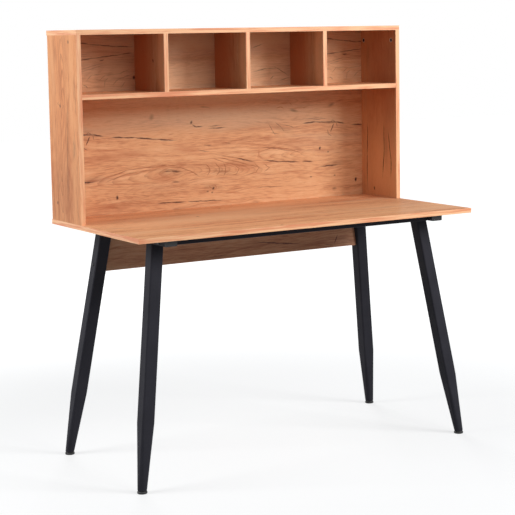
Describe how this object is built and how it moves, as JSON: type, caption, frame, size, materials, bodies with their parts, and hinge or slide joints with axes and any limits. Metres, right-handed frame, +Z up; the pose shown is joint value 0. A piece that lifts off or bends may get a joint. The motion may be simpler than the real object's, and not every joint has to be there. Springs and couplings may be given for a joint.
{
  "type": "writing desk with shelf hutch",
  "caption": "Rectangular writing desk on splayed tapered steel legs, with a hutch along its back that has a shelf divided into open compartments.",
  "frame": {"origin": "on the floor under the middle of the desk", "axes": "+X to the user's right, +Y from the user towards the hutch, +Z up"},
  "size_m": [1.2, 0.6, 1.34],
  "materials": {
    "oak_laminate": "chipboard with a satin printed laminate, rustic oak with dark cracks and knots",
    "edge_banding": "plain straight-grained oak-look edge banding",
    "back_board": "thin hardboard with the same printed oak",
    "black_steel": "satin black powder coat on steel tube",
    "black_hardware": "black plated screws and brackets",
    "black_plastic": "moulded black plastic",
    "zinc_steel": "zinc-plated steel and die-cast cam locks",
    "dowel_wood": "plain beech dowels"
  },
  "bodies": {
    "desk": {"back_left_leg": "black_steel", "back_panel_screws": "zinc_steel", "back_right_leg": "black_steel", "barrel_nuts": "zinc_steel", "bracket_screws": "zinc_steel", "centre_divider": "oak_laminate", "desktop_edging": "edge_banding", "desktop_panel": "oak_laminate", "divider_edging": "edge_banding", "divider_screws": "zinc_steel", "frame_screws": "black_hardware", "front_left_leg": "black_steel", "front_rail": "black_steel", "front_right_leg": "black_steel", "hutch_back_panel": "back_board", "hutch_base_screws": "zinc_steel", "hutch_left_side": "oak_laminate", "hutch_left_side_edging": "edge_banding", "hutch_right_side": "oak_laminate", "hutch_right_side_edging": "edge_banding", "hutch_shelf": "oak_laminate", "hutch_shelf_edging": "edge_banding", "hutch_top_board": "oak_laminate", "hutch_top_cam_bolts": "zinc_steel", "hutch_top_cam_locks": "zinc_steel", "hutch_top_edging": "edge_banding", "left_divider": "oak_laminate", "left_side_tube": "black_steel", "leg_end_plugs": "zinc_steel", "modesty_brackets": "black_hardware", "modesty_panel": "oak_laminate", "modesty_panel_bolts": "black_hardware", "modesty_panel_edging": "edge_banding", "rail_bolts": "black_hardware", "rail_end_nuts": "zinc_steel", "rear_rail": "black_steel", "right_divider": "oak_laminate", "right_side_tube": "black_steel", "shelf_cam_bolts": "zinc_steel", "shelf_cam_locks": "zinc_steel", "side_tube_end_caps": "black_plastic", "wooden_dowels": "dowel_wood"},
    "front_left_foot": {"front_left_foot_pad": "black_plastic", "front_left_foot_stud": "zinc_steel"},
    "front_right_foot": {"front_right_foot_pad": "black_plastic", "front_right_foot_stud": "zinc_steel"},
    "back_left_foot": {"back_left_foot_pad": "black_plastic", "back_left_foot_stud": "zinc_steel"},
    "back_right_foot": {"back_right_foot_pad": "black_plastic", "back_right_foot_stud": "zinc_steel"}
  },
  "joints": [
    {"name": "front_left_foot_screw", "type": "slide", "parent": "desk", "child": "front_left_foot", "axis": [0, 0, -1], "range_m": [0, 0.01]},
    {"name": "front_right_foot_screw", "type": "slide", "parent": "desk", "child": "front_right_foot", "axis": [0, 0, -1], "range_m": [0, 0.01]},
    {"name": "back_left_foot_screw", "type": "slide", "parent": "desk", "child": "back_left_foot", "axis": [0, 0, -1], "range_m": [0, 0.01]},
    {"name": "back_right_foot_screw", "type": "slide", "parent": "desk", "child": "back_right_foot", "axis": [0, 0, -1], "range_m": [0, 0.01]}
  ]
}
